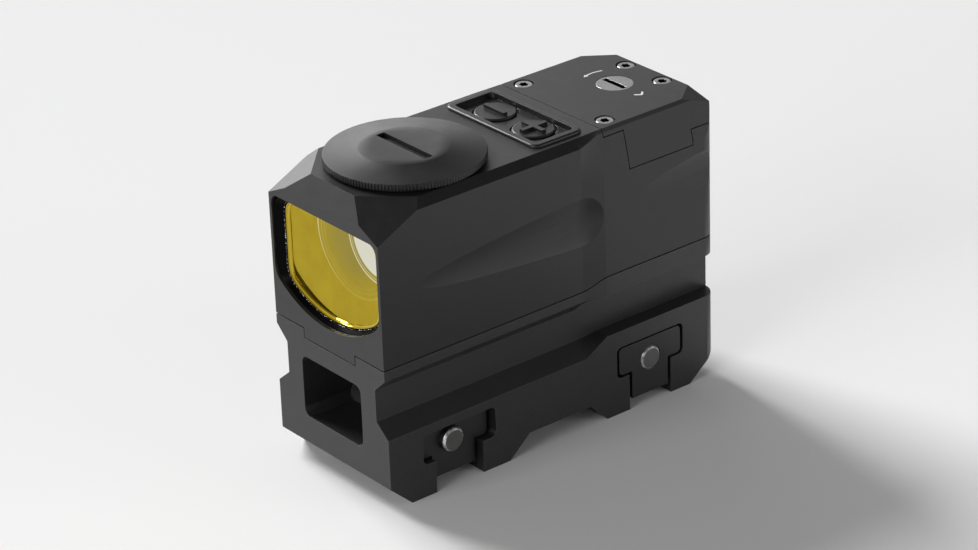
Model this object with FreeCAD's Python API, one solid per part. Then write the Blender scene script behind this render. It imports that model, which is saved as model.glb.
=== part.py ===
"""Enclosed reflex (red dot) sight on a two-bolt rail riser, one STEP file per piece.

Millimetres. +Z is up, the optical axis runs along Y with the objective at -Y and the
user's eye at +Y. The origin is the centre of the flat face that rests on the rail.
"""
import FreeCAD, Part
import math
import os

V = FreeCAD.Vector

# ---- driving dimensions -------------------------------------------------------------
FRONT_Y = -41.1          # front face of housing and riser
REAR_Y = 42.6            # rear face
REAR_CORNER_R = 3.4      # its upright corners are rounded
TOP_Z = 52.5             # flat top of the housing

# side walls: front block, rear block, and the short ramp between the two
FRONT_HALF_W = 16.9
REAR_HALF_W = 17.3
RAMP_Y0 = 7.9
RAMP_Y1 = 13.4

# seam between housing and riser
SEAM_FRONT_Z = 20.8
SEAM_REAR_Z = 22.3
SEAM_GAP = 0.25
SEAM_Y0 = 6.9
SEAM_Y1 = 14.9
KEY_HALF_W = 7.9         # key under the housing, sits in a groove of the riser
KEY_Z = 18.7
KEY_RELIEF = 0.2         # open joint round the key at the front and rear faces

# riser
WAIST_HALF_W = 13.8
BASE_HALF_W = 17.25
FOOT_Z = -9.0
ARCH_Z = -4.7
FRONT_WALL = 3.0         # closes the rail channel in front
TUNNEL_HALF_W = 9.2
TUNNEL_Z0 = 1.5
TUNNEL_Z1 = 14.5

# accessory rail the riser clamps on: 21.2 mm wide, 45 degree flanks
RAIL_TOP_HALF = 7.85
RAIL_WIDE_HALF = 10.6
RAIL_WIDE_Z = -2.74
RAIL_LOW_Z = -5.54
RAIL_PITCH = 10.01       # recoil groove pitch; the bolts stand five grooves apart
BOLT_Y = (-25.4, -25.4 + 5 * RAIL_PITCH)
BOLT_Z = 0.6
BOLT_R = 2.5
CLAW_OPEN = 1.6          # the rear claw stands two turns open

# front window (objective)
WIN_ARC_R = 24.0
LENS_FRONT_Y = -38.6
LENS_BACK_Y = -34.8
CHANNEL_HALF_W = 13.4
CHANNEL_Z0 = 25.1
CHANNEL_Z1 = 45.9
BAY_Y0 = 21.3            # bay of the emitter adjusters, under the rear cover
BAY_Y1 = 36.9
BAY_Z0 = 42.6
BAY_Z1 = 50.0
BAY_HALF_W = 13.5

# battery cap
CAP_Y = -21.1
CAP_R = 15.66
CAP_RIM_Z0 = 52.7
CAP_RIM_Z1 = 54.2
CAP_DISC_R = 8.85
CAP_TOP_Z = 55.2
WELL_R = 13.55
WELL_Z = 47.7

# key pad
PAD_HALF_W = 13.9
PAD_Y0 = -0.8
PAD_Y1 = 11.7
PAD_RIM_Z = 53.1
PAD_FLOOR_Z = 52.0
PAD_CORNER_R = 1.9
KEY_X = 5.75
KEY_Y = 5.7
BUTTON_R = 4.25
KEY_TOP_Z = 52.45
SIGN_TOP_Z = 53.05       # raised minus and plus
SIGN_HALF = 3.05
SIGN_HALF_W = 0.5

# rear cover
COVER_Y = 14.8
COVER_SEAM_Z = 51.0
COVER_GAP = 0.2
SKIRT_Y0 = 19.9
SKIRT_Y1 = 36.2
SKIRT_Z = 43.3
COVER_REAR_Z = 46.5
COVER_SCREWS = ((-12.15, 18.2), (12.15, 18.2), (-5.4, 39.0), (5.4, 39.0))

# adjusters
ADJ_Y = 31.3
WIND_Z = 44.6
ADJ_HEAD_R = 3.7
RUN_GAP = 0.05           # running clearance of every shaft in its bore


# ---- helpers ------------------------------------------------------------------------
def box(x0, x1, y0, y1, z0, z1):
    return Part.makeBox(x1 - x0, y1 - y0, z1 - z0, V(x0, y0, z0))


def rod(radius, start, end):
    """Cylinder from one point to another."""
    a, b = V(*start), V(*end)
    return Part.makeCylinder(radius, (b - a).Length, a, b - a)


def tube(outer, inner, start, end):
    return rod(outer, start, end).cut(rod(inner, start, end))


def taper(r0, r1, start, end):
    a, b = V(*start), V(*end)
    return Part.makeCone(r0, r1, (b - a).Length, a, b - a)


def prism(points, direction):
    """Closed polygon of 3-D points, swept along a vector."""
    corners = [V(*p) for p in points]
    wire = Part.makePolygon(corners + corners[:1])
    return Part.Face(wire).extrude(V(*direction))


def prism_y(outline, y0, y1):
    return prism([(x, y0, z) for x, z in outline], (0, y1 - y0, 0))


def prism_x(outline, x0, x1):
    return prism([(x0, y, z) for y, z in outline], (x1 - x0, 0, 0))


def mirror_x(shape):
    return shape.mirror(V(0, 0, 0), V(1, 0, 0))


def vertical_edges(shape):
    return [e for e in shape.Edges if abs(e.Vertexes[0].Z - e.Vertexes[-1].Z) > 0.5]


def section(side, y):
    """Cross-section wire at y from the outline of its +X side, top to bottom or back."""
    right = [V(x, y, z) for x, z in side]
    left = [V(-x, y, z) for x, z in reversed(side)]
    corners = right + left
    return Part.makePolygon(corners + corners[:1])


def stepped_block(front_side, rear_side):
    """Front block, ruled ramp and rear block with their own cross-sections."""
    front = Part.Face(section(front_side, FRONT_Y)).extrude(V(0, RAMP_Y0 - FRONT_Y, 0))
    wires = [section(front_side, RAMP_Y0), section(rear_side, RAMP_Y1)]
    ramp = Part.makeLoft(wires, True, True)
    rear = Part.Face(section(rear_side, RAMP_Y1)).extrude(V(0, REAR_Y - RAMP_Y1, 0))
    block = front.fuse([ramp, rear]).removeSplitter()
    plan = box(-REAR_HALF_W, REAR_HALF_W, FRONT_Y, REAR_Y, -50, 100)
    corners = [e for e in vertical_edges(plan) if e.CenterOfMass.y > 0]
    return block.common(plan.makeFillet(REAR_CORNER_R, corners))


def side_slab(bottom, top, gap):
    """Slab of the YZ outline whose seam edge is an S-curve; bottom or top is the rest."""
    z0, z1 = SEAM_FRONT_Z + gap, SEAM_REAR_Z + gap
    y_mid = (SEAM_Y0 + SEAM_Y1) / 2
    curve = Part.BezierCurve()
    curve.setPoles([V(0, SEAM_Y0, z0), V(0, y_mid, z0), V(0, y_mid, z1), V(0, SEAM_Y1, z1)])
    rest = [V(0, SEAM_Y1, z1), V(0, REAR_Y, z1)]
    rest += [V(0, y, z) for y, z in (bottom or top)]
    rest += [V(0, FRONT_Y, z0), V(0, SEAM_Y0, z0)]
    wire = Part.Wire([curve.toShape()] + Part.makePolygon(rest).Edges)
    return Part.Face(wire).extrude(V(40, 0, 0)).translated(V(-20, 0, 0))


def beyond(point, normal):
    """Large block that starts at a plane and lies on the side its normal points to."""
    block = Part.makeBox(120, 120, 40, V(-60, -60, 0))
    turn = FreeCAD.Rotation(V(0, 0, 1), V(*normal))
    block.Placement = FreeCAD.Placement(V(*point), turn)
    return block


def window(half_w, z_top, z_low, y0, y1, arc=WIN_ARC_R, r_top=2.0, r_side=3.5):
    """Window outline: flat top, straight sides, a wide arc below, rounded corners."""
    body = box(-half_w, half_w, y0, y1, z_low, z_top)
    drum = rod(arc, (0, y0, z_low + arc), (0, y1, z_low + arc))
    body = body.common(drum)
    long_edges = [e for e in body.Edges if abs(e.Vertexes[0].Y - e.Vertexes[-1].Y) > 0.1]
    upper = [e for e in long_edges if abs(e.Vertexes[0].Z - z_top) < 0.1]
    lower = [e for e in long_edges if z_low + 1 < e.Vertexes[0].Z < z_top - 1]
    body = body.makeFillet(r_top, upper)
    matches = [e for e in body.Edges
               if any((e.CenterOfMass - m.CenterOfMass).Length < 0.01 for m in lower)]
    return body.makeFillet(r_side, matches)


def window_wire(half_w, z_top, z_low, y, arc=WIN_ARC_R, r_top=2.0, r_side=3.5):
    slab = window(half_w, z_top, z_low, y, y + 1, arc, r_top, r_side)
    face = [f for f in slab.Faces if abs(f.CenterOfMass.y - y) < 0.001][0]
    return face.OuterWire


def lobed_socket(radius, start, end):
    """Six-lobe driver recess."""
    shape = rod(radius * 0.72, start, end)
    for i in range(6):
        a = i * math.pi / 3
        step = (radius * 0.74 * math.cos(a), radius * 0.74 * math.sin(a), 0)
        shape = shape.fuse(rod(radius * 0.26, tuple(V(*start) + V(*step)),
                               tuple(V(*end) + V(*step))))
    return shape


def hex_bar(across, x0, x1, y, z):
    r = across / math.sqrt(3)
    ring = [(y + r * math.cos(i * math.pi / 3), z + r * math.sin(i * math.pi / 3))
            for i in range(6)]
    return prism_x(ring, x0, x1)


def export(name, shape):
    if isinstance(shape, (list, tuple)):
        shape = Part.makeCompound(list(shape))
    solids = shape.Solids
    good = shape.isValid() and solids and all(s.Volume > 0 for s in solids)
    print(f"{name:24s} solids {len(solids):3d}  volume {shape.Volume:10.2f}  "
          f"{'ok' if good else 'BAD'}")
    if len(solids) == 1:
        shape = solids[0]
    shape.exportStep(f"parts/{name}.step")


# ---- housing and cover --------------------------------------------------------------
def housing_block():
    """Outside of housing and cover together."""
    low = 17.0
    front_side = [(FRONT_HALF_W, low), (FRONT_HALF_W, 44.1), (FRONT_HALF_W, 50.9),
                  (15.15, TOP_Z)]
    rear_side = [(REAR_HALF_W, low), (REAR_HALF_W, 44.1), (15.5, 51.8), (15.0, TOP_Z)]
    block = stepped_block(front_side, rear_side)
    top = [(REAR_Y, 49.0), (REAR_Y - 1.5, TOP_Z), (FRONT_Y + 2.8, TOP_Z), (FRONT_Y, 48.9)]
    block = block.common(side_slab(None, top, 0.0))
    key = box(-KEY_HALF_W, KEY_HALF_W, FRONT_Y, REAR_Y, KEY_Z, SEAM_REAR_Z + 1)
    block = block.fuse(key)
    for s in (-1, 1):
        block = block.cut(beyond((s * 16.9, FRONT_Y, 46.3), (s * 0.392, -0.404, 0.827)))
        block = block.cut(beyond((s * 15.0, 35.5, TOP_Z), (s * 0.315, 0.248, 0.916)))
        block = block.cut(side_scoop(s, 7.3, 35.5, 1.0, -0.0256))
        block = block.cut(side_scoop(s, 53.1, 37.3, 1.15, -0.040))
    return block.removeSplitter()


def side_scoop(side, end_y, z, depth, slope):
    """Shallow run-out scoop left by a ball-nosed cutter, deepest at its +Y end."""
    r = 13.0
    wall = FRONT_HALF_W if end_y < RAMP_Y0 else REAR_HALF_W
    centre = V(side * (wall - depth + r), end_y, z)
    reach = 70 if end_y < RAMP_Y0 else 36
    away = V(-side * slope * reach, -reach, 0)
    bar = Part.makeCylinder(r, away.Length, centre, away)
    return bar.fuse(Part.makeSphere(r, centre))


def cover_zone(gap):
    """Space of the rear cover, grown by a seam gap for cutting the housing."""
    plate = box(-20, 20, COVER_Y - gap, REAR_Y + 1, COVER_SEAM_Z - gap, TOP_Z + 1)
    skirt = box(14.2 - gap, 20, SKIRT_Y0 - gap, SKIRT_Y1 + gap, SKIRT_Z - gap, TOP_Z)
    heel = box(-20, 20, SKIRT_Y1 - gap, REAR_Y + 1, COVER_REAR_Z - gap, TOP_Z)
    return plate.fuse([skirt, heel])


def housing_shell(block):
    shell = block.cut(cover_zone(COVER_GAP))
    bite = box(-20, 20, FRONT_Y - 1, REAR_Y + 1, 10, SEAM_FRONT_Z)
    shell = shell.cut(bite.cut(box(-KEY_HALF_W, KEY_HALF_W, -50, 50, 10, 30)))
    shell = shell.cut(window(16.2, 46.2, 23.3, FRONT_Y - 1, LENS_FRONT_Y))
    shell = shell.cut(window(14.95, 45.75, 23.75, LENS_FRONT_Y - 1, LENS_BACK_Y + 0.6))
    shell = shell.cut(window(CHANNEL_HALF_W, CHANNEL_Z1, CHANNEL_Z0, LENS_BACK_Y, BAY_Y0))
    shell = shell.cut(window(CHANNEL_HALF_W, 42.0, CHANNEL_Z0, BAY_Y0 - 1, 37.5))
    shell = shell.cut(window(14.8, 43.2, 24.2, 37.1, REAR_Y + 1))
    shell = shell.cut(box(-BAY_HALF_W, BAY_HALF_W, BAY_Y0, BAY_Y1, BAY_Z0, TOP_Z))
    shell = shell.cut(rod(WELL_R, (0, CAP_Y, WELL_Z), (0, CAP_Y, TOP_Z + 1)))
    shell = shell.cut(box(-13.0, 13.0, -0.5, 13.2, 47.2, 50.3))
    pad = box(-PAD_HALF_W, PAD_HALF_W, PAD_Y0, PAD_Y1, 50.2, TOP_Z + 1)
    shell = shell.cut(pad.makeFillet(PAD_CORNER_R, vertical_edges(pad)))
    for x, y in COVER_SCREWS:
        shell = shell.cut(rod(1.05, (x, y, 44.3 if y > 30 else 46.6), (x, y, TOP_Z)))
    shell = shell.cut(rod(4.7, (-16.4, ADJ_Y, WIND_Z), (-20, ADJ_Y, WIND_Z)))
    shell = shell.cut(rod(3.76, (-14.85, ADJ_Y, WIND_Z), (-20, ADJ_Y, WIND_Z)))
    shell = shell.cut(rod(1.56, (-13, ADJ_Y, WIND_Z), (-20, ADJ_Y, WIND_Z)))
    for x, y in base_screw_places():
        shell = shell.cut(rod(1.5, (x, y, KEY_Z - 1), (x, y, 24.2)))
    return shell


def rear_cover(block):
    cover = block.common(cover_zone(0.0))
    plug = box(-BAY_HALF_W + 0.1, BAY_HALF_W - 0.1, BAY_Y0 + 0.1, SKIRT_Y1 + 0.5,
               BAY_Z1, COVER_SEAM_Z + 0.5)
    cover = cover.fuse(plug)
    cover = cover.cut(box(-BAY_HALF_W, BAY_HALF_W, BAY_Y0, BAY_Y1, 40, BAY_Z1))
    cover = cover.cut(rod(ADJ_HEAD_R + 0.06, (0, ADJ_Y, 50.85), (0, ADJ_Y, TOP_Z + 1)))
    cover = cover.cut(rod(1.56, (0, ADJ_Y, 45), (0, ADJ_Y, TOP_Z)))
    for x, y in COVER_SCREWS:
        cover = cover.cut(rod(1.15, (x, y, 44), (x, y, TOP_Z + 1)))
        cover = cover.cut(rod(2.05, (x, y, 51.9), (x, y, TOP_Z + 1)))
        cover = cover.cut(taper(1.15, 2.05, (x, y, 51.0), (x, y, 51.9)))
    return cover.removeSplitter()


def cover_screws():
    screws = []
    for x, y in COVER_SCREWS:
        end = 44.5 if y > 30 else 46.8
        screw = rod(1.0, (x, y, end), (x, y, 51.6))
        screw = screw.fuse(taper(1.0, 1.9, (x, y, 51.05), (x, y, 51.95)))
        screw = screw.fuse(rod(1.9, (x, y, 51.95), (x, y, 52.35)))
        screws.append(screw.cut(lobed_socket(0.85, (x, y, 51.6), (x, y, 53))))
    return screws


# ---- optics -------------------------------------------------------------------------
def objective_lens():
    """Thick bevelled window of the objective, ground hollow behind."""
    wide = window_wire(14.85, 45.65, 23.85, LENS_FRONT_Y + 0.9)
    small = window_wire(13.95, 44.75, 24.75, LENS_FRONT_Y + 0.1)
    bevel = Part.makeLoft([small, wide], True, True)
    plate = window(14.85, 45.65, 23.85, LENS_FRONT_Y + 0.9, LENS_BACK_Y)
    lens = bevel.fuse(plate)
    centre = V(0, LENS_BACK_Y + 78.8, 35.0)
    return lens.cut(Part.makeSphere(80.0, centre))


def objective_retainer():
    """Tapered frame that holds the objective in from the front."""
    outside = window(16.1, 46.1, 23.4, FRONT_Y + 0.45, LENS_FRONT_Y)
    mouth = window_wire(15.9, 45.9, 23.6, FRONT_Y + 0.44)
    throat = window_wire(14.3, 45.3, 24.1, LENS_FRONT_Y + 0.01)
    return outside.cut(Part.makeLoft([mouth, throat], True, True))


def objective_seal():
    outer = window(14.9, 45.7, 23.8, LENS_BACK_Y, LENS_BACK_Y + 0.55)
    return outer.cut(window(13.7, 44.9, 25.0, LENS_BACK_Y - 1, LENS_BACK_Y + 2))


def rear_window():
    return window(14.4, 42.8, 24.6, 37.7, 39.4)


def rear_window_seal():
    outer = window(14.7, 43.1, 24.3, 37.15, 37.65)
    return outer.cut(window(13.5, 42.0, 25.2, 36, 39))


def rear_window_frame():
    outer = window(14.7, 43.1, 24.3, 39.45, REAR_Y - 0.2)
    throat = window_wire(13.2, 41.7, 25.6, 39.44)
    mouth = window_wire(14.3, 42.7, 24.7, REAR_Y - 0.19)
    return outer.cut(Part.makeLoft([throat, mouth], True, True))


# ---- battery and keys ---------------------------------------------------------------
def battery_cap():
    axis = (0, CAP_Y)
    rim = rod(CAP_R, (*axis, CAP_RIM_Z0), (*axis, CAP_RIM_Z1))
    cone = taper(CAP_R - 0.1, CAP_DISC_R, (*axis, CAP_RIM_Z1), (*axis, CAP_TOP_Z))
    skirt = rod(WELL_R - RUN_GAP, (*axis, 49.6), (*axis, CAP_RIM_Z0))
    cap = rim.fuse([cone, skirt])
    cap = cap.cut(rod(12.75, (*axis, 49), (*axis, 52.1)))
    cap = cap.cut(tube(14.9, 14.0, (*axis, CAP_RIM_Z0), (*axis, CAP_RIM_Z0 + 0.55)))
    slot = box(-7.5, 7.5, CAP_Y - 0.95, CAP_Y + 0.95, CAP_TOP_Z - 0.9, CAP_TOP_Z + 1)
    return cap.cut(slot)


def cap_seal():
    return Part.makeTorus(14.45, 0.36, V(0, CAP_Y, CAP_RIM_Z0 + 0.18))


def cap_contact():
    """Swivelling contact disc with its spring washer; it lifts with the cap, unturned."""
    disc = rod(9.0, (0, CAP_Y, 51.4), (0, CAP_Y, 51.7))
    return disc.fuse(tube(6.0, 4.0, (0, CAP_Y, 51.7), (0, CAP_Y, 52.05)))


def battery_tray():
    cup = rod(13.45, (0, CAP_Y, WELL_Z), (0, CAP_Y, 49.4))
    return cup.cut(rod(12.4, (0, CAP_Y, WELL_Z + 0.35), (0, CAP_Y, 50)))


def battery_contact():
    """Bottom contact: a ring with three spring fingers."""
    ring = tube(9.0, 7.6, (0, CAP_Y, 48.05), (0, CAP_Y, 48.2))
    for i in range(3):
        a = math.radians(90 + 120 * i)
        finger = box(-0.9, 0.9, 0, 8.0, 48.05, 48.3)
        finger.rotate(V(0, 0, 0), V(0, 0, 1), math.degrees(a))
        ring = ring.fuse(finger.translated(V(0, CAP_Y, 0)))
    return ring


def battery():
    can = rod(12.25, (0, CAP_Y, 48.35), (0, CAP_Y, 51.05))
    return can.fuse(rod(11.0, (0, CAP_Y, 51.05), (0, CAP_Y, 51.35)))


def keypad_bezel():
    pad = box(-PAD_HALF_W + 0.05, PAD_HALF_W - 0.05, PAD_Y0 + 0.05, PAD_Y1 - 0.05,
              50.35, PAD_RIM_Z)
    pad = pad.makeFillet(PAD_CORNER_R - 0.05, vertical_edges(pad))
    top = [e for e in pad.Edges if abs(e.CenterOfMass.z - PAD_RIM_Z) < 0.01]
    pad = pad.makeFillet(0.5, top)
    hollow = box(-12.3, 12.3, PAD_Y0 + 1.5, PAD_Y1 - 1.4, PAD_FLOOR_Z, PAD_RIM_Z + 1)
    pad = pad.cut(hollow.makeFillet(0.8, vertical_edges(hollow)))
    for x in (-KEY_X, KEY_X):
        pad = pad.cut(rod(BUTTON_R + 0.4, (x, KEY_Y, 50.9), (x, KEY_Y, 54)))
        pad = pad.cut(rod(1.56, (x, KEY_Y, 50), (x, KEY_Y, 54)))
    return pad


def button(x, plus):
    """Round key with a raised minus or plus sign and a stem to its switch."""
    body = rod(BUTTON_R, (x, KEY_Y, 51.55), (x, KEY_Y, KEY_TOP_Z))
    rim = [e for e in body.Edges if abs(e.CenterOfMass.z - KEY_TOP_Z) < 0.01]
    body = body.makeFillet(0.35, rim)
    body = body.fuse(rod(1.5, (x, KEY_Y, 49.2), (x, KEY_Y, 51.6)))
    arm = box(x - SIGN_HALF, x + SIGN_HALF, KEY_Y - SIGN_HALF_W, KEY_Y + SIGN_HALF_W,
              KEY_TOP_Z - 0.2, SIGN_TOP_Z)
    body = body.fuse(arm)
    if plus:
        arm.rotate(V(x, KEY_Y, 0), V(0, 0, 1), 90)
        body = body.fuse(arm)
    return body.removeSplitter()


def circuit_board():
    board = box(-12.6, 12.6, -0.2, 12.9, 47.2, 48.0)
    chip = box(-2.0, 2.0, 9.6, 12.6, 48.0, 48.8)
    return board.fuse(chip)


def dome_switches():
    return [rod(3.0, (x, KEY_Y, 48.05), (x, KEY_Y, 48.5)) for x in (-KEY_X, KEY_X)]


# ---- adjusters ----------------------------------------------------------------------
def adjuster(top, towards):
    """Captive slotted screw: head, shank, clip groove and thread, built down -Z."""
    head, clip, tip = towards
    body = rod(ADJ_HEAD_R, (0, 0, top - head), (0, 0, top))
    body = body.fuse(rod(1.5, (0, 0, clip), (0, 0, top - head)))
    body = body.fuse(rod(1.15, (0, 0, clip - 0.5), (0, 0, clip)))
    body = body.fuse(rod(1.25, (0, 0, tip), (0, 0, clip - 0.5)))
    body = body.cut(tube(4.0, 3.18, (0, 0, top - 1.15), (0, 0, top - 0.6)))
    return body.cut(box(-3.1, 3.1, -0.6, 0.6, top - 0.8, top + 1))


def onto_windage(shape):
    """Turns a piece drawn down -Z so that its head faces -X at the windage place."""
    shape = shape.copy()
    shape.rotate(V(0, 0, 0), V(0, 1, 0), -90)
    return shape.translated(V(0, ADJ_Y, WIND_Z))


def elevation_screw():
    body = adjuster(52.45, (1.55, 49.85, 45.2))
    return body.translated(V(0, ADJ_Y, 0))


def windage_screw():
    return onto_windage(adjuster(16.35, (1.45, 13.35, 6.6)))


def clip_ring(z0):
    ring = tube(1.9, 1.2, (0, 0, z0), (0, 0, z0 + 0.4))
    return ring.cut(box(-0.8, 0.8, 0, 5, z0 - 1, z0 + 1))


def seal_ring(z):
    return Part.makeTorus(3.46, 0.26, V(0, 0, z))


def elevation_nut():
    y = ADJ_Y
    flange = box(-3, 3, y - 2.5, y + 2.5, 46.3, 47.5)
    neck = box(-3, 3, y - 1.5, y + 1.5, 47.5, 48.8)
    return flange.fuse(neck).cut(rod(1.3, (0, y, 40), (0, y, 60)))


def windage_nut():
    y = ADJ_Y
    flange = box(-8.6, -7.2, y - 2.5, y + 2.5, 42.9, 46.2)
    neck = box(-10.6, -8.6, y - 1.6, y + 1.6, 42.9, 46.2)
    return flange.fuse(neck).cut(rod(1.3, (-20, y, WIND_Z), (0, y, WIND_Z)))


def emitter_carriage():
    """Block that carries the light source; T-slots take the two nuts."""
    y = ADJ_Y
    block = box(-9.0, 6.0, y - 5, y + 5, 43.3, 48.2)
    block = block.cut(box(-5.5, 7, y - 2.6, y + 2.6, 46.2, 47.6))
    block = block.cut(box(-5.5, 7, y - 1.6, y + 1.6, 47.5, 49))
    block = block.cut(rod(2.2, (0, y, 44.6), (0, y, 46.3)))
    block = block.cut(box(-8.7, -7.1, y - 2.6, y + 2.6, 42, 46.8))
    block = block.cut(box(-9.5, -8.6, y - 1.7, y + 1.7, 42, 46.8))
    block = block.cut(box(-7.2, -5.9, y - 2.0, y + 2.0, 42, 46.8))
    return block


def emitter_board():
    return box(-2.2, 2.2, ADJ_Y - 5.6, ADJ_Y - 5.05, 43.6, 47.0)


def led_emitter():
    y = ADJ_Y - 5.65
    return rod(1.0, (0, y, 45.2), (0, y - 0.5, 45.2)).fuse(
        taper(0.8, 0.5, (0, y - 0.5, 45.2), (0, y - 1.1, 45.2)))


# ---- riser and clamps ---------------------------------------------------------------
def base_screw_places():
    return [(x, y) for x in (-5.5, 5.5) for y in (-33.0, 32.0)]


def riser_base():
    front_side = [(FRONT_HALF_W, 24.0), (FRONT_HALF_W, 18.55), (WAIST_HALF_W, 15.6),
                  (WAIST_HALF_W, 8.95), (BASE_HALF_W, 6.1), (BASE_HALF_W, FOOT_Z - 1)]
    rear_side = [(REAR_HALF_W, 24.0), (REAR_HALF_W, 18.1), (WAIST_HALF_W, 18.0),
                 (WAIST_HALF_W, 9.3), (BASE_HALF_W, 9.2), (BASE_HALF_W, FOOT_Z - 1)]
    base = stepped_block(front_side, rear_side)
    bottom = [(REAR_Y, -3.1), (35.0, FOOT_Z), (13.1, FOOT_Z), (8.9, ARCH_Z),
              (-6.9, ARCH_Z), (-11.9, FOOT_Z), (-36.1, FOOT_Z), (FRONT_Y, -4.4)]
    base = base.common(side_slab(bottom, None, -SEAM_GAP))
    base = base.cut(box(-KEY_HALF_W - 0.05, KEY_HALF_W + 0.05, -50, 50, KEY_Z, 30))
    for y in (FRONT_Y, REAR_Y):
        base = base.cut(box(-KEY_HALF_W - KEY_RELIEF, KEY_HALF_W + KEY_RELIEF, y - 1, y + 1,
                            KEY_Z - KEY_RELIEF, 30))
    base = base.cut(tunnel())
    base = base.cut(rail_channel())
    base = base.cut(claw_pocket(0))
    base = base.cut(claw_pocket(1))
    for y in BOLT_Y:
        base = base.cut(rod(BOLT_R + 0.06, (-20, y, BOLT_Z), (20, y, BOLT_Z)))
        base = base.cut(rod(4.3, (-20, y, BOLT_Z), (-12.9, y, BOLT_Z)))
    for x, y in base_screw_places():
        base = base.cut(rod(1.6, (x, y, TUNNEL_Z1 - 1), (x, y, KEY_Z + 1)))
        base = base.cut(taper(3.1, 1.5, (x, y, TUNNEL_Z1), (x, y, TUNNEL_Z1 + 1.6)))
    return base.removeSplitter()


def tunnel():
    """Lengthwise opening of the riser; its floor humps over the two cross bolts."""
    hole = box(-TUNNEL_HALF_W, TUNNEL_HALF_W, -50, 50, TUNNEL_Z0, TUNNEL_Z1)
    hole = hole.makeFillet(1.6, [e for e in hole.Edges
                                 if abs(e.Vertexes[0].Y - e.Vertexes[-1].Y) > 10])
    for y in BOLT_Y:
        hump = [(y - 5.5, 1.0), (y - 3.6, 4.4), (y + 3.6, 4.4), (y + 5.5, 1.0)]
        hole = hole.cut(prism_x(hump, -12, 12))
    return hole


def rail_channel():
    """Space for the rail, closed in front: seat, 45 degree jaw on -X, straight wall on +X."""
    slack = 0.12
    outline = [(-RAIL_TOP_HALF - slack, 0), (RAIL_TOP_HALF + slack, 0),
               (11.0, -3.05), (11.0, -20), (-8.0, -20), (-8.0, RAIL_LOW_Z + 0.1),
               (-RAIL_WIDE_HALF - slack, RAIL_WIDE_Z)]
    return prism_y(outline, FRONT_Y + FRONT_WALL, 50)


# pockets and claws: head y0, head y1, stem y0, stem y1, head z0, head z1
POCKETS = ((-33.0, -15.2, -30.1, -18.5, -2.2, 4.2), (15.8, 33.2, 19.0, 29.9, -1.2, 5.6))
CLAWS = ((-32.6, -16.1, -29.7, -19.2, -1.9, 4.05), (16.5, 32.6, 19.8, 29.3, -0.8, 5.15))
CLAW_FACE_X = (15.5, 15.5 + CLAW_OPEN)
CLAW_DEPTH = 4.7


def tee(dims, low, x0, x1, corner):
    """T-shaped block with rounded head corners, seen along X."""
    y0, y1, s0, s1, z0, z1 = dims
    head = box(x0, x1, y0, y1, z0, z1)
    head = head.makeFillet(corner, [e for e in head.Edges
                                    if abs(e.Vertexes[0].X - e.Vertexes[-1].X) > 1])
    return head.fuse(box(x0, x1, s0, s1, low, z1 - corner)).removeSplitter()


def claw_pocket(i):
    return tee(POCKETS[i], -20, 10.4, 20, 1.2)


def claw(i):
    face = CLAW_FACE_X[i]
    low = -6.9
    back = face - CLAW_DEPTH
    body = tee(CLAWS[i], low, back, face, 1.0)
    tip = back - 2.6
    hook = [(back + 0.5, low), (tip, low), (tip, RAIL_LOW_Z + 0.3),
            (back, RAIL_WIDE_Z), (back + 0.5, RAIL_WIDE_Z)]
    body = body.fuse(prism_y(hook, CLAWS[i][2], CLAWS[i][3]))
    y = BOLT_Y[i]
    body = body.cut(rod(BOLT_R + RUN_GAP, (0, y, BOLT_Z), (30, y, BOLT_Z)))
    return body.removeSplitter()


def clamp_bolt(i):
    """Cross bolt: socket head on -X, thread through the claw, chamfered tip on +X."""
    y = BOLT_Y[i]
    tip = (17.2, 17.45)[i]
    bolt = rod(BOLT_R, (-13.75, y, BOLT_Z), (tip, y, BOLT_Z))
    end = [e for e in bolt.Edges if abs(e.CenterOfMass.x - tip) < 0.01]
    bolt = bolt.makeChamfer(0.45, end)
    head = rod(4.0, (-17.1, y, BOLT_Z), (-13.75, y, BOLT_Z))
    outer = [e for e in head.Edges if abs(e.CenterOfMass.x + 17.1) < 0.01]
    bolt = bolt.fuse(head.makeChamfer(0.4, outer))
    return bolt.cut(hex_bar(4.0, -18, -14.9, y, BOLT_Z))


def clamp_washers():
    return [tube(4.1, 2.7, (-13.7, y, BOLT_Z), (-12.9, y, BOLT_Z)) for y in BOLT_Y]


def base_screws():
    screws = []
    for x, y in base_screw_places():
        screw = rod(1.45, (x, y, TUNNEL_Z1 + 1), (x, y, 24.0))
        screw = screw.fuse(taper(2.95, 1.45, (x, y, TUNNEL_Z1 + 0.1),
                                 (x, y, TUNNEL_Z1 + 1.6)))
        socket = lobed_socket(1.25, (x, y, TUNNEL_Z1 - 1), (x, y, TUNNEL_Z1 + 1.4))
        screws.append(screw.cut(socket))
    return screws


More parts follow.
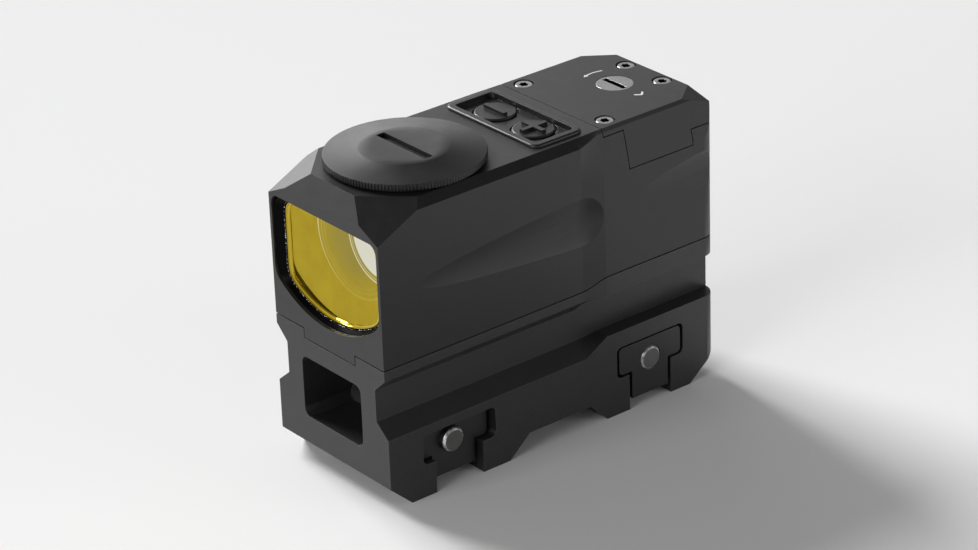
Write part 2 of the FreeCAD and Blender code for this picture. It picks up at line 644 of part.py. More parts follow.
def main():
    os.makedirs("parts", exist_ok=True)
    block = housing_block()
    export("housing_shell", housing_shell(block))
    export("rear_cover", rear_cover(block))
    export("cover_screws", cover_screws())
    export("objective_lens", objective_lens())
    export("objective_retainer", objective_retainer())
    export("objective_seal", objective_seal())
    export("rear_window", rear_window())
    export("rear_window_seal", rear_window_seal())
    export("rear_window_frame", rear_window_frame())
    export("battery_cap", battery_cap())
    export("cap_seal", cap_seal())
    export("cap_contact", cap_contact())
    export("battery_tray", battery_tray())
    export("battery_contact", battery_contact())
    export("battery", battery())
    export("keypad_bezel", keypad_bezel())
    export("minus_button", button(-KEY_X, False))
    export("plus_button", button(KEY_X, True))
    export("circuit_board", circuit_board())
    export("dome_switches", dome_switches())
    export("elevation_screw", elevation_screw())
    export("elevation_clip", clip_ring(49.4).translated(V(0, ADJ_Y, 0)))
    export("elevation_seal", seal_ring(51.57).translated(V(0, ADJ_Y, 0)))
    export("elevation_nut", elevation_nut())
    export("windage_screw", windage_screw())
    export("windage_clip", onto_windage(clip_ring(12.9)))
    export("windage_seal", onto_windage(seal_ring(15.47)))
    export("windage_nut", windage_nut())
    export("emitter_carriage", emitter_carriage())
    export("emitter_board", emitter_board())
    export("led_emitter", led_emitter())
    export("riser_base", riser_base())
    export("base_screws", base_screws())
    for i, end in enumerate(("front", "rear")):
        export(f"{end}_claw", claw(i))
        export(f"{end}_clamp_bolt", clamp_bolt(i))
    export("clamp_washers", clamp_washers())


main()
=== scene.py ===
"""Looks of an enclosed reflex sight on a two-bolt clamp riser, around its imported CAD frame.

Metres, in the CAD frame: +Z up, the objective at -Y, the eye at +Y, the rail seat at z 0.
"""
import math

import bmesh
import bpy
from mathutils import Matrix, Vector


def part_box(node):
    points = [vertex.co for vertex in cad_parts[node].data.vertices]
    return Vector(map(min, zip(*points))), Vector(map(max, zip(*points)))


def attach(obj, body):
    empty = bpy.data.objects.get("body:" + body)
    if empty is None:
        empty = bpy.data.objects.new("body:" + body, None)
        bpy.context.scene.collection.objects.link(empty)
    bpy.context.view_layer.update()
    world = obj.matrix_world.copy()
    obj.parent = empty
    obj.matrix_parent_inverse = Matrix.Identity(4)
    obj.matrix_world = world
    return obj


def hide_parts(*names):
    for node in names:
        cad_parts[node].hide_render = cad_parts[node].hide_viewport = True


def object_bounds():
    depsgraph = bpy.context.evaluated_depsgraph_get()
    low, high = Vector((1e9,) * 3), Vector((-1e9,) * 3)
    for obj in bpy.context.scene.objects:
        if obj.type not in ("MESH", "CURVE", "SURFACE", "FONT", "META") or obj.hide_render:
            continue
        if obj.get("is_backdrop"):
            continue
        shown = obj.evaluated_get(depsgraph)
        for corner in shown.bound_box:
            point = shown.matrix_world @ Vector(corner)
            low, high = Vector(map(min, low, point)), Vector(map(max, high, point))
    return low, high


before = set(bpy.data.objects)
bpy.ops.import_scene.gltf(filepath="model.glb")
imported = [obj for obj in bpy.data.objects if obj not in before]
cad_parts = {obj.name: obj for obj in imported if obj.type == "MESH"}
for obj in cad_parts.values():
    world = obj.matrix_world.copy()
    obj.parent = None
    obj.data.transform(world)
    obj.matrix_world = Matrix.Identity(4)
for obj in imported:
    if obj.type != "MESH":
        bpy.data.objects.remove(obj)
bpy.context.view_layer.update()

MM = 0.001


# ---- node trees ---------------------------------------------------------------------
class Shader:
    """A material with one Principled BSDF and short calls to add nodes to it."""

    def __init__(self, name):
        self.material = bpy.data.materials.new(name)
        self.material.use_nodes = True
        self.tree = self.material.node_tree
        self.bsdf = self.tree.nodes["Principled BSDF"]
        self.coords = self.add("TexCoord").outputs["Object"]

    def add(self, kind, **settings):
        node = self.tree.nodes.new("ShaderNode" + kind)
        for key, value in settings.items():
            setattr(node, key, value)
        return node

    def put(self, socket, value):
        if isinstance(value, bpy.types.NodeSocket):
            self.tree.links.new(value, socket)
        else:
            socket.default_value = value

    def along(self, axis):
        """The object's own coordinate along X, Y or Z."""
        split = self.add("SeparateXYZ")
        self.put(split.inputs[0], self.coords)
        return split.outputs[axis]

    def noise(self, size, detail=3.0, rough=0.6):
        """Noise whose features are about size metres across."""
        node = self.add("TexNoise")
        self.put(node.inputs["Vector"], self.coords)
        node.inputs["Scale"].default_value = 1.0 / size
        node.inputs["Detail"].default_value = detail
        node.inputs["Roughness"].default_value = rough
        return node.outputs["Fac"]

    def spread(self, value, low, high, at=(0.3, 0.7)):
        """Maps a value's at-range to low..high."""
        node = self.add("MapRange")
        for key, given in zip(("Value", "From Min", "From Max", "To Min", "To Max"),
                              (value, at[0], at[1], low, high)):
            self.put(node.inputs[key], given)
        return node.outputs["Result"]

    def math(self, operation, a, b=0.0):
        node = self.add("Math", operation=operation)
        self.put(node.inputs[0], a)
        self.put(node.inputs[1], b)
        return node.outputs[0]

    def mix(self, factor, a, b):
        """Blends two colours; a Mix node keeps its colour sockets at 6 and 7, and 2 going out."""
        node = self.add("Mix", data_type="RGBA")
        for index, given in ((0, factor), (6, a), (7, b)):
            self.put(node.inputs[index], given)
        return node.outputs[2]

    def edges(self, radius):
        """1 along sharp outer or inner edges, 0 on flat stretches."""
        bevel = self.add("Bevel", samples=4)
        bevel.inputs["Radius"].default_value = radius
        dot = self.add("VectorMath", operation="DOT_PRODUCT")
        self.put(dot.inputs[0], bevel.outputs["Normal"])
        self.put(dot.inputs[1], self.add("NewGeometry").outputs["Normal"])
        bent, flat = 0.86, 0.995
        return self.spread(dot.outputs["Value"], 1.0, 0.0, at=(bent, flat))

    def bump(self, height, depth, strength):
        node = self.add("Bump")
        node.inputs["Strength"].default_value = strength
        node.inputs["Distance"].default_value = depth
        self.put(node.inputs["Height"], height)
        return node.outputs["Normal"]

    def set(self, **values):
        names = {"color": "Base Color", "rough": "Roughness", "metal": "Metallic",
                 "normal": "Normal", "specular": "Specular IOR Level", "ior": "IOR",
                 "through": "Transmission Weight"}
        for key, value in values.items():
            self.put(self.bsdf.inputs[names[key]], value)
        return self.material


def grey(value, warm=0.0):
    """A grey, with a share of its value moved from blue to red."""
    return (value * (1 + warm), value, value * (1 - warm), 1.0)


# ---- materials ----------------------------------------------------------------------
def black_anodised(name, tone=1.0):
    """Bead-blasted aluminium, dyed black: grain, blotches, edges lighter by wear and painted
    highlight.
    """
    s = Shader(name)
    grain = s.noise(0.30 * MM, detail=3.0, rough=0.75)
    blotch = s.noise(11 * MM, detail=3.0)
    color = s.mix(s.spread(blotch, 0.0, 1.0), grey(0.0045 * tone), grey(0.0065 * tone, -0.02))
    color = s.mix(s.spread(grain, 0.0, 0.6), color, grey(0.016 * tone))
    # Edges are painted lighter: partly rubbed wear, partly a painted highlight along them.
    edge = s.math("MULTIPLY", s.edges(0.14 * MM), s.spread(s.noise(1.6 * MM), 0.25, 0.9))
    color = s.mix(edge, color, grey(0.05 * tone))
    rough = s.spread(s.noise(3.0 * MM, detail=4.0), 0.36, 0.42)
    return s.set(color=color, rough=rough, specular=0.5,
                 normal=s.bump(grain, 0.03 * MM, 0.7))


def satin_black(name):
    """Machined frame with a glossy black finish and fine turning lines."""
    s = Shader(name)
    lines = s.noise(0.25 * MM, detail=2.0)
    color = s.mix(s.spread(lines, 0.0, 1.0), grey(0.0012), grey(0.003))
    rough = s.spread(s.noise(3 * MM), 0.2, 0.34)
    return s.set(color=color, rough=rough, specular=0.03, normal=s.bump(lines, 0.008 * MM, 0.4))


def rubber(name, tone, rough_at):
    """Moulded rubber with fine pores and uneven wear."""
    s = Shader(name)
    pores = s.noise(0.16 * MM, detail=3.0, rough=0.65)
    color = s.mix(s.spread(pores, 0.0, 1.0), grey(0.75 * tone), grey(1.35 * tone, 0.02))
    rough = s.spread(s.noise(1.7 * MM, detail=4.0), rough_at - 0.06,
                     rough_at + 0.08)
    return s.set(color=color, rough=rough, specular=0.5, normal=s.bump(pores, 0.014 * MM, 0.5))


def steel(name, tone, rough_at, recess=None, tip=None):
    """Machined metal, stained here and there.

    Painted shade blackens it below a given height; the chamfer behind the tip is partly worn,
    partly painted highlight.
    """
    s = Shader(name)
    stained = 0.85
    scratch = s.noise(0.3 * MM, detail=4.0, rough=0.75)
    stain = s.noise(1.9 * MM, detail=4.0)
    color = s.mix(s.spread(stain, 0.0, 1.0), grey(tone * stained, 0.03), grey(tone))
    # Painted highlight: the edges are painted lighter.
    edge = s.edges(0.12 * MM)
    color = s.mix(edge, color, grey(min(0.9, tone * 1.5)))
    if recess is not None:
        # Painted shade: black below the given height, where the sockets and slots are.
        depth = s.spread(s.along("Z"), 1.0, 0.0, at=(recess - 0.12 * MM, recess))
        color = s.mix(depth, color, grey(0.004))
    # The chamfer behind the tip is painted bright: partly wear, partly a painted highlight.
    if tip is not None:
        before_face = s.spread(s.along("X"), 1.0, 0.0, at=(tip - 0.10 * MM, tip - 0.03 * MM))
        past_shank = s.spread(s.along("X"), 0.0, 1.0, at=(tip - 0.60 * MM, tip - 0.55 * MM))
        chamfer = s.math("MULTIPLY", before_face, past_shank)
        worn = s.spread(s.noise(0.8 * MM, detail=2.0), 0.1, 1.0, at=(0.35, 0.6))
        color = s.mix(s.math("MULTIPLY", chamfer, worn), color, grey(0.85))
    rough = s.spread(scratch, rough_at - 0.07, rough_at + 0.1)
    return s.set(color=color, rough=rough, metal=1.0, normal=s.bump(scratch, 0.01 * MM, 0.35))


def tinted_metal(name, color_a, color_b, rough_at):
    """Plated metal, stained between two colours."""
    s = Shader(name)
    stain = s.noise(1.4 * MM, detail=4.0)
    color = s.mix(s.spread(stain, 0.0, 1.0), (*color_a, 1.0), (*color_b, 1.0))
    scratch = s.noise(0.2 * MM, detail=3.0)
    return s.set(color=color, rough=s.spread(scratch, rough_at - 0.05, rough_at + 0.1),
                 metal=1.0, normal=s.bump(scratch, 0.008 * MM, 0.3))


def plastic(name, color_a, color_b, rough_at):
    """Moulded plastic, mottled between two colours."""
    s = Shader(name)
    mottle = s.noise(0.9 * MM, detail=4.0)
    color = s.mix(s.spread(mottle, 0.0, 1.0), (*color_a, 1.0), (*color_b, 1.0))
    grain = s.noise(0.12 * MM, detail=2.0)
    return s.set(color=color, rough=s.spread(grain, rough_at - 0.06, rough_at + 0.08),
                 specular=0.5, normal=s.bump(grain, 0.008 * MM, 0.4))


def white_ink(name):
    """White print, worn thin in spots."""
    s = Shader(name)
    wear = s.noise(0.35 * MM, detail=4.0)
    color = s.mix(s.spread(wear, 0.0, 1.0, at=(0.25, 0.5)), grey(0.32), grey(0.78))
    return s.set(color=color, rough=s.spread(wear, 0.5, 0.65), specular=0.3)


def beading(name):
    """Tiny glossy beads, most dark and some painted bright as glints, a painted highlight."""
    s = Shader(name)
    # Painted highlights: noise picks some beads to be painted bright as glints.
    painted_glints = s.spread(s.noise(0.4 * MM, detail=2.0), 0.0, 1.0, at=(0.52, 0.58))
    color = s.mix(painted_glints, grey(0.012), grey(0.75))
    return s.set(color=color, rough=s.spread(s.noise(0.3 * MM), 0.1, 0.2), metal=0.8)


def coated_glass(name):
    """Gold dichroic window; the round optics behind it are painted on as reflected arcs, a duller
    disc and a pale patch of light.
    """
    s = Shader(name)
    low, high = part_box("objective_lens")
    half = high.x
    gold, light_gold, painted_optics_gold = (0.40, 0.285, 0.002), (0.47, 0.345, 0.006), (0.30, 0.25, 0.045)
    arc_gold, inner_arc_gold = (0.82, 0.75, 0.36), (0.85, 0.80, 0.50)
    pale, ground_rim = (0.80, 0.80, 0.68), (0.50, 0.36, 0.010)

    def distance(x, z):
        """Distance in the window's plane from a point of it."""
        across = s.math("SUBTRACT", s.along("X"), x)
        up = s.math("SUBTRACT", s.along("Z"), z)
        return s.math("SQRT", s.math("ADD", s.math("MULTIPLY", across, across),
                                     s.math("MULTIPLY", up, up)))

    def arcs(color, away, rings, tint, fading):
        """Thin bright circles painted as reflections: each has a radius and a line width, as
        shares of half, and a strength.
        """
        for radius, width, light in rings:
            offset = s.math("ABSOLUTE", s.math("SUBTRACT", away, radius * half))
            line = s.spread(offset, light, 0.0, at=(0.5 * width * half, width * half))
            color = s.mix(s.math("MULTIPLY", line, fading), color, (*tint, 1.0))
        return color

    haze = s.noise(5 * MM, detail=3.0)
    color = s.mix(s.spread(haze, 0.0, 1.0), (*gold, 1.0), (*light_gold, 1.0))
    # Painted shading of the optics behind the window: a duller gold disc.
    outer = distance(low.x + 1.476 * half, low.z + 1.325 * half)
    painted_optics_disc = s.spread(outer, 0.75, 0.0, at=(0.35 * half, 0.77 * half))
    color = s.mix(painted_optics_disc, color, (*painted_optics_gold, 1.0))
    # Painted reflections: bright arcs round the optics, fading towards the bottom.
    fading = s.spread(s.along("Z"), 0.15, 1.0, at=(low.z + 0.6 * half, high.z))
    outer_arcs = ((0.77, 0.016, 0.75), (0.70, 0.012, 0.25), (0.64, 0.010, 0.2))
    color = arcs(color, outer, outer_arcs, arc_gold, fading)
    inner = distance(low.x + 1.936 * half, low.z + 1.475 * half)
    color = arcs(color, inner, ((0.585, 0.016, 0.7), (0.545, 0.012, 0.4)), inner_arc_gold, 1.0)
    # Painted light: a pale patch inside the inner circle.
    patch = s.spread(inner, 0.9, 0.0, at=(0.49 * half, 0.505 * half))
    color = s.mix(patch, color, (*pale, 1.0))
    rim = s.spread(s.along("Y"), 1.0, 0.0, at=(low.y - 0.50 * MM, low.y - 0.43 * MM))
    color = s.mix(rim, color, (*ground_rim, 1.0))
    smear = s.noise(1.2 * MM, detail=4.0)
    return s.set(color=color, metal=s.spread(rim, 1.0, 0.35, at=(0.0, 1.0)),
                 rough=s.spread(smear, 0.05, 0.11))


def clear_glass(name):
    """Clear glass with a faint warm coating and slight smears."""
    s = Shader(name)
    smear = s.noise(2.5 * MM, detail=4.0)
    color = s.mix(s.spread(smear, 0.0, 1.0), (0.90, 0.93, 0.80, 1.0), (0.96, 0.96, 0.88, 1.0))
    return s.set(color=color, through=1.0, ior=1.5, rough=s.spread(smear, 0.0, 0.03))


FINISHES = {
    "black_anodised": black_anodised("anodised_black"),
    "black_frame": satin_black("frame_black"),
    "coated_glass": coated_glass("glass_coated"),
    "clear_glass": clear_glass("glass_clear"),
    "key_rubber": rubber("rubber_keys", 0.012, 0.36),
    "seal_rubber": rubber("rubber_seal", 0.008, 0.5),
    "screw_steel": steel("steel_screws", 0.42, 0.34),
    "dark_steel": steel("steel_dark", 0.1, 0.42),
    "cell_steel": steel("steel_cell", 0.62, 0.25),
    "contact_brass": tinted_metal("brass_contacts", (0.62, 0.44, 0.16), (0.75, 0.56, 0.24), 0.3),
    "tray_plastic": plastic("plastic_tray", (0.02, 0.02, 0.022), (0.035, 0.035, 0.036), 0.5),
    "board_green": plastic("board_green", (0.006, 0.07, 0.02), (0.012, 0.11, 0.035), 0.35),
    "led_red": plastic("led_red", (0.35, 0.01, 0.008), (0.5, 0.02, 0.015), 0.2),
}
# Painted light: lighter copies of the housing's black for the claws and the riser, standing in
# for light on their shaded faces.
CLAW_BLACK_PAINTED_LIGHTER = black_anodised("anodised_claws_painted_lighter", 1.3)
RISER_BLACK_PAINTED_LIGHTER = black_anodised("anodised_riser_painted_lighter", 2.0)
COVER_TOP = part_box("rear_cover")[1].z
# Painted shade: these heads are painted black just below the cover's top, in their sockets and
# slots.
HEAD_STEEL = steel("steel_heads", 0.5, 0.3, recess=COVER_TOP - 0.16 * MM)
INK = white_ink("ink_white")
OWN_FINISH = {"front_claw": CLAW_BLACK_PAINTED_LIGHTER, "rear_claw": CLAW_BLACK_PAINTED_LIGHTER, "riser_base": RISER_BLACK_PAINTED_LIGHTER,
              "elevation_screw": HEAD_STEEL}
for bolt in ("front_clamp_bolt", "rear_clamp_bolt"):
    OWN_FINISH[bolt] = steel("steel_" + bolt, 0.17, 0.4, tip=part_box(bolt)[1].x)

# rounding of the sharp edges of machined and moulded pieces, in millimetres
EDGE_ROUNDING = {"housing_shell": 0.16, "rear_cover": 0.12, "riser_base": 0.18,
                 "front_claw": 0.12, "rear_claw": 0.12, "keypad_bezel": 0.22,
                 "minus_button": 0.1, "plus_button": 0.1, "elevation_screw": 0.07,
                 "windage_screw": 0.07, "front_clamp_bolt": 0.08, "rear_clamp_bolt": 0.08}
ROUNDED_FROM = math.radians(24)
FLAT_WITHIN = math.radians(0.6)
WELD_GAP = 0.002 * MM


# ---- the CAD pieces -----------------------------------------------------------------
def dress(node, material):
    """Gives a CAD node its finish, and a small rounding of its sharp edges."""
    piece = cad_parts[node]
    for material_slot in piece.material_slots:
        material_slot.material = material
    if node in EDGE_ROUNDING:
        weld = piece.modifiers.new("weld", "WELD")
        weld.merge_threshold = WELD_GAP
        planar = piece.modifiers.new("planar", "DECIMATE")
        planar.decimate_type = "DISSOLVE"
        planar.angle_limit = FLAT_WITHIN
        rounding = piece.modifiers.new("rounding", "BEVEL")
        rounding.width = EDGE_ROUNDING[node] * MM
        rounding.segments = 2
        rounding.limit_method = "ANGLE"
        rounding.angle_limit = ROUNDED_FROM
        rounding.harden_normals = True
        rounding.use_clamp_overlap = True


for name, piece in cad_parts.items():
    dress(name, OWN_FINISH.get(name) or FINISHES[piece.data.materials[0].name])


# ---- pieces with more detail than their CAD node --------------------------------------
SHARP_FROM = math.radians(28)


def mesh_of(builder, name):
    """The mesh of a finished bmesh, which is freed."""
    mesh = bpy.data.meshes.new(name)
    builder.to_mesh(mesh)
    builder.free()
    return mesh


def new_piece(name, mesh, material, body):
    """Adds a mesh as a piece: sharp edges stay sharp, the rest is shaded smooth."""
    mesh.materials.append(material)
    mesh.shade_smooth()
    mesh.set_sharp_from_angle(angle=SHARP_FROM)
    piece = bpy.data.objects.new(name, mesh)
    bpy.context.scene.collection.objects.link(piece)
    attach(piece, body)
    return piece


def turned(builder, profile, centre, steps, cut=(0, 0, 1, 1)):
    """Rings of a turned shape, from rows of radius, z and serration depth.

    The shares in cut, taken in turn, say how much of that depth each point is cut back.
    """
    rings = []
    for radius, z, depth in profile:
        ring = []
        for i in range(steps):
            angle = 2 * math.pi * i / steps
            reach = radius - depth * cut[i % len(cut)]
            ring.append(builder.verts.new((centre.x + reach * math.cos(angle),
                                           centre.y + reach * math.sin(angle), z)))
        rings.append(ring)
    for upper, lower in zip(rings, rings[1:]):
        for i in range(steps):
            j = (i + 1) % steps
            builder.faces.new((upper[i], upper[j], lower[j], lower[i]))
    return rings


def battery_cap():
    """Screw cap: slotted disc, cone, serrated rim, seal groove and threaded skirt."""
    low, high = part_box("battery_cap")
    centre = (low + high) / 2
    rim = (high.x - low.x) / 2
    top = high.z
    rim_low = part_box("housing_shell")[1].z + 0.2 * MM
    rim_high = top - 1.0 * MM
    disc, disc_round = 0.565 * rim, 0.12 * MM
    chamfer, serration, teeth = 0.3 * MM, 0.24 * MM, 150
    groove_out, groove_in, groove_top = rim - 0.76 * MM, rim - 1.66 * MM, rim_low + 0.55 * MM
    skirt, bore = rim - 2.16 * MM, rim - 2.91 * MM
    profile = [(disc - disc_round, top, 0), (disc, top - 0.4 * disc_round, 0),
               (rim - chamfer, rim_high + 0.05 * MM, 0), (rim - 0.1 * MM, rim_high, 0),
               (rim, rim_high - 0.5 * chamfer, serration), (rim, rim_low + chamfer, serration),
               (rim - chamfer, rim_low, 0), (groove_out, rim_low, 0),
               (groove_out, groove_top, 0), (groove_in, groove_top, 0),
               (groove_in, rim_low, 0), (skirt, rim_low, 0)]
    pitch, turns, thread_depth = 0.75 * MM, 4, 0.3 * MM
    for turn in range(turns):
        z = rim_low - turn * pitch
        profile += [(skirt - thread_depth, z - 0.4 * pitch, 0), (skirt, z - 0.8 * pitch, 0)]
    profile += [(skirt - 0.2 * MM, low.z, 0), (bore, low.z, 0), (bore, rim_low - 0.6 * MM, 0)]
    builder = bmesh.new()
    rings = turned(builder, profile, centre, 4 * teeth)
    builder.faces.new(rings[-1])
    slot_half, slot_width, slot_depth = 7.5 * MM, 0.95 * MM, 0.9 * MM
    corners = [(-slot_half, -slot_width), (slot_half, -slot_width), (slot_half, slot_width),
               (-slot_half, slot_width)]
    mouth = [builder.verts.new((centre.x + x, centre.y + y, top)) for x, y in corners]
    base = [builder.verts.new((v.co.x, v.co.y, top - slot_depth)) for v in mouth]
    for i in range(4):
        j = (i + 1) % 4
        builder.faces.new((mouth[i], mouth[j], base[j], base[i]))
    builder.faces.new(base)
    rim_edges = [builder.edges.get((rings[0][i - 1], rings[0][i])) for i in range(len(rings[0]))]
    slot_edges = [builder.edges.get((mouth[i - 1], mouth[i])) for i in range(4)]
    bmesh.ops.triangle_fill(builder, edges=rim_edges + slot_edges, use_beauty=True)
    bmesh.ops.recalc_face_normals(builder, faces=builder.faces)
    mesh = mesh_of(builder, "battery_cap_turned")
    piece = new_piece("battery_cap_turned", mesh, FINISHES["black_anodised"], "battery_cap")
    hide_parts("battery_cap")


RING_POINTS = 240


def window_ring(half, top, low, y):
    """Points round the window: flat top, straight sides, wide arc below, soft corners."""
    arc, middle, smoothing_passes = 24.0 * MM, (top + low) / 2, 24
    drop = middle - (low + arc)
    ring = []
    for i in range(RING_POINTS):
        angle = 2 * math.pi * (i + 0.5) / RING_POINTS
        across, up = math.cos(angle), math.sin(angle)
        reach = min(half / abs(across),
                    -up * drop + math.sqrt(arc ** 2 - drop ** 2 * (1 - up ** 2)))
        if up > 0:
            reach = min(reach, (top - middle) / up)
        ring.append(Vector((reach * across, y, middle + reach * up)))
    for _ in range(smoothing_passes):
        ring = [(ring[i - 1] + 2 * ring[i] + ring[(i + 1) % RING_POINTS]) / 4
                for i in range(RING_POINTS)]
    return ring


def lofted(name, rings, ends):
    """Skin over rings of equal count; its two ends are either closed or joined up."""
    builder = bmesh.new()
    rows = [[builder.verts.new(point) for point in ring] for ring in rings]
    pairs = list(zip(rows, rows[1:]))
    if ends == "joined":
        pairs.append((rows[-1], rows[0]))
    else:
        builder.faces.new(rows[0])
        builder.faces.new(rows[-1][::-1])
    for one, two in pairs:
        for i in range(RING_POINTS):
            j = (i + 1) % RING_POINTS
            builder.faces.new((one[i], one[j], two[j], two[i]))
    bmesh.ops.recalc_face_normals(builder, faces=builder.faces)
    return mesh_of(builder, name)


def front_window():
    """Thick window with a ground rim, its black frame, and the beaded joint between."""
    low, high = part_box("objective_lens")
    face = low.y - 0.9 * MM

    def ring(inset, back):
        """Outline drawn in by inset and set behind the window's face, in millimetres."""
        return window_ring(high.x - inset * MM, high.z - 0.5 * inset * MM,
                           low.z + 0.8 * inset * MM, face + back * MM)

    window_steps = ((0.65, 4.5), (0.65, 0.15), (0.75, 0.0), (0.95, 0.0), (1.05, 0.2),
                    (1.3, 0.25), (1.5, 0.5))
    glass = lofted("objective_window", [ring(*step) for step in window_steps], "closed")
    piece = new_piece("objective_window", glass, FINISHES["coated_glass"], "housing")
    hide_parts("objective_lens")
    frame_steps = ((-1.25, 0.8), (-1.25, -1.15), (-1.1, -1.25), (-1.0, -1.2), (0.15, 0.1),
                   (0.5, 0.35), (0.6, 0.8))
    frame_mesh = lofted("objective_frame", [ring(*step) for step in frame_steps], "joined")
    piece = new_piece("objective_frame", frame_mesh, FINISHES["black_frame"], "housing")
    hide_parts("objective_retainer")
    bead = 0.15 * MM
    builder = bmesh.new()
    for point in ring(0.3, 0.05):
        bmesh.ops.create_icosphere(builder, subdivisions=2, radius=bead,
                                   matrix=Matrix.Translation(point))
    mesh = mesh_of(builder, "objective_beading")
    new_piece("objective_beading", mesh, beading("bead_metal"), "housing")


def cover_screws():
    """Countersunk screws of the rear cover, with six-lobe recesses."""
    low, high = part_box("cover_screws")
    inset, rear_x, lobes = 1.9 * MM, 5.4 * MM, 12
    side_x, front_y, rear_y = high.x - inset, low.y + inset, high.y - inset
    top = high.z + 0.02 * MM
    # radius, depth below the top and lobe depth, in millimetres
    shank, head, socket, lobe = 1.0, 1.75, 0.96, 0.2
    profile = [(shank, 5.5, 0), (shank, 1.3, 0), (head, 0.5, 0), (head, 0.12, 0),
               (head - 0.12, 0.0, 0), (socket + 0.1, 0.0, lobe), (socket + 0.02, 0.1, lobe),
               (socket, 1.0, lobe)]
    rows = [(radius * MM, top - depth * MM, cut * MM) for radius, depth, cut in profile]
    lobe_cut = [0.5 - 0.5 * math.cos(2 * math.pi * i / lobes) for i in range(lobes)]
    builder = bmesh.new()
    for x, y in ((-side_x, front_y), (side_x, front_y), (-rear_x, rear_y), (rear_x, rear_y)):
        rings = turned(builder, rows, Vector((x, y, 0)), 6 * lobes, lobe_cut)
        builder.faces.new(rings[0])
        builder.faces.new(rings[-1])
    bmesh.ops.recalc_face_normals(builder, faces=builder.faces)
    mesh = mesh_of(builder, "cover_screws_lobed")
    piece = new_piece("cover_screws_lobed", mesh, HEAD_STEEL, "housing")
    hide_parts("cover_screws")


def printed(name, outline, z):
    """Thin printed mark on the cover: an outline in plan, a layer of ink thick."""
    ink = 0.03 * MM
    builder = bmesh.new()
    lower = [builder.verts.new((x, y, z)) for x, y in outline]
    upper = [builder.verts.new((x, y, z + ink)) for x, y in outline]
    builder.faces.new(upper)
    builder.faces.new(lower[::-1])
    count = len(outline)
    for i in range(count):
        j = (i + 1) % count
        builder.faces.new((lower[i], lower[j], upper[j], upper[i]))
    mesh = mesh_of(builder, name)
    new_piece(name, mesh, INK, "housing")


def cover_marks():
    """Curved arrow and a plain chevron beside the elevation screw."""
    low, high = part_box("elevation_screw")
    centre = (low + high) / 2
    radius, half_line = 6.8 * MM, 0.16 * MM

    def polar(reach, degrees):
        angle = math.radians(degrees)
        return (centre.x + reach * math.cos(angle), centre.y + reach * math.sin(angle))

    start, end, steps = 160, 193, 12
    barb, point = 3.2 * half_line, end + 9
    sweep = [start + (end - start) * i / steps for i in range(steps + 1)]
    arrow = [polar(radius + half_line, a) for a in sweep]
    arrow += [polar(radius + barb, end), polar(radius, point), polar(radius - barb, end)]
    arrow += [polar(radius - half_line, a) for a in reversed(sweep)]
    printed("arrow_mark", arrow, COVER_TOP)
    x, y = centre.x + 7.9 * MM, centre.y
    reach, line = 1.1 * MM, 0.42 * MM
    foot = 1.4 * line
    chevron = [(x - reach, y - reach), (x - reach + foot, y - reach), (x + line, y),
               (x - reach + foot, y + reach), (x - reach, y + reach), (x - 0.4 * line, y)]
    printed("chevron_mark", chevron, COVER_TOP)


battery_cap()
front_window()
cover_screws()
cover_marks()


# ---- floor, light and camera --------------------------------------------------------
def floor():
    """Plain pale floor, touched by the lowest point of the object."""
    mesh = bpy.data.meshes.new("floor")
    half, level = 6.0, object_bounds()[0].z
    mesh.from_pydata([(-half, -half, level), (half, -half, level), (half, half, level),
                      (-half, half, level)], [], [(0, 1, 2, 3)])
    piece = bpy.data.objects.new("floor", mesh)
    bpy.context.scene.collection.objects.link(piece)
    s = Shader("floor_white")
    tone = s.noise(0.4, detail=2.0)
    mesh.materials.append(s.set(color=s.mix(tone, grey(0.80), grey(0.84)), rough=0.9,
                                specular=0.1))
    piece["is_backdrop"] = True


def area_light(name, place, size, power):
    """Rectangular lamp that faces the middle of the object."""
    middle = Vector((0, 0, 0.02))
    data = bpy.data.lights.new(name, "AREA")
    data.shape = "RECTANGLE"
    data.size, data.size_y = size
    data.energy = power
    lamp = bpy.data.objects.new(name, data)
    bpy.context.scene.collection.objects.link(lamp)
    lamp.location = place
    lamp.rotation_euler = (middle - Vector(place)).to_track_quat("-Z", "Y").to_euler()


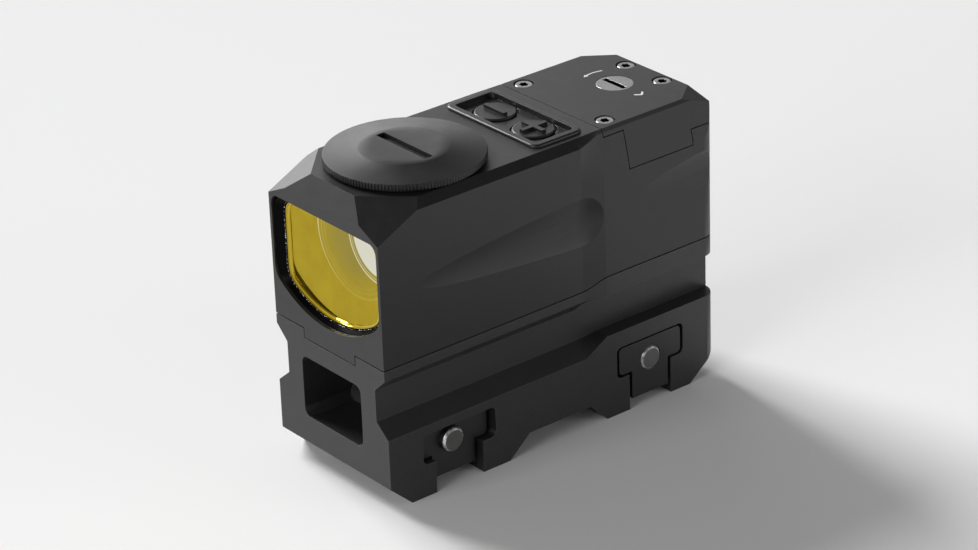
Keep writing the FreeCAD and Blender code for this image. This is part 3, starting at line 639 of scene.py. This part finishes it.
def sky():
    """Soft surroundings: fair near the horizon, dim overhead, a brighter stretch each side."""
    world = bpy.data.worlds.new("studio")
    bpy.context.scene.world = world
    world.use_nodes = True
    tree = world.node_tree
    glow = tree.nodes["Background"]
    way = tree.nodes.new("ShaderNodeTexCoord").outputs["Generated"]
    split = tree.nodes.new("ShaderNodeSeparateXYZ")
    tree.links.new(way, split.inputs[0])

    def smooth(value, start, end, low, high):
        node = tree.nodes.new("ShaderNodeMapRange")
        node.interpolation_type = "SMOOTHSTEP"
        tree.links.new(value, node.inputs["Value"])
        for key, given in (("From Min", start), ("From Max", end), ("To Min", low),
                           ("To Max", high)):
            node.inputs[key].default_value = given
        return node.outputs["Result"]

    fair, dim = 0.45, 0.08
    total = smooth(split.outputs["Z"], 0.25, 0.65, fair, dim)
    # each stretch: its direction, the cosines of its outer and inner limits, its strength
    screens = (((-0.95, 0.30, 0.10), 0.86, 0.98, 1.7), ((0.83, 0.55, 0.03), 0.90, 0.99, 0.7))
    for way_to, start, end, bright in screens:
        facing = tree.nodes.new("ShaderNodeVectorMath")
        facing.operation = "DOT_PRODUCT"
        tree.links.new(way, facing.inputs[0])
        facing.inputs[1].default_value = Vector(way_to).normalized()
        add = tree.nodes.new("ShaderNodeMath")
        add.operation = "ADD"
        tree.links.new(total, add.inputs[0])
        tree.links.new(smooth(facing.outputs["Value"], start, end, 0.0, bright), add.inputs[1])
        total = add.outputs[0]
    tree.links.new(total, glow.inputs["Strength"])
    glow.inputs["Color"].default_value = (1.0, 1.0, 1.0, 1.0)


def studio():
    """Surroundings, a broad low sun from the left, and two weak fills."""
    sky()
    sun = bpy.data.lights.new("key_left", "SUN")
    sun.energy, sun.angle = 4.0, math.radians(24)
    lamp = bpy.data.objects.new("key_left", sun)
    bpy.context.scene.collection.objects.link(lamp)
    lamp.rotation_euler = Vector((0.85, 0.05, -0.54)).to_track_quat("-Z", "Y").to_euler()
    area_light("fill_front", (0.10, -1.20, 0.55), (0.8, 0.5), 7)
    area_light("fill_right", (0.95, 0.62, 0.42), (0.6, 0.4), 1)
    bpy.context.scene.view_settings.view_transform = "Standard"


def camera():
    """View from the front right, turned slightly about its own axis."""
    azimuth, elevation, roll = (math.radians(a) for a in (51.551, 26.089, -2.064))
    back = Vector((math.sin(azimuth) * math.cos(elevation),
                   -math.cos(azimuth) * math.cos(elevation), math.sin(elevation)))
    right = Vector((math.cos(azimuth), math.sin(azimuth), 0.0))
    up = back.cross(right)
    x_axis = math.cos(roll) * right + math.sin(roll) * up
    y_axis = math.cos(roll) * up - math.sin(roll) * right
    aim, distance = Vector((-0.63, -1.41, 21.21)) * MM, 699.15 * MM
    place = aim + back * distance
    turn = Matrix((x_axis, y_axis, back)).transposed().to_4x4()
    data = bpy.data.cameras.new("camera")
    data.lens = 131.7
    data.sensor_width = 36.0
    data.clip_start, data.clip_end = 0.05, 30.0
    eye = bpy.data.objects.new("camera", data)
    bpy.context.scene.collection.objects.link(eye)
    eye.matrix_world = Matrix.Translation(place) @ turn
    bpy.context.scene.camera = eye


floor()
studio()
camera()
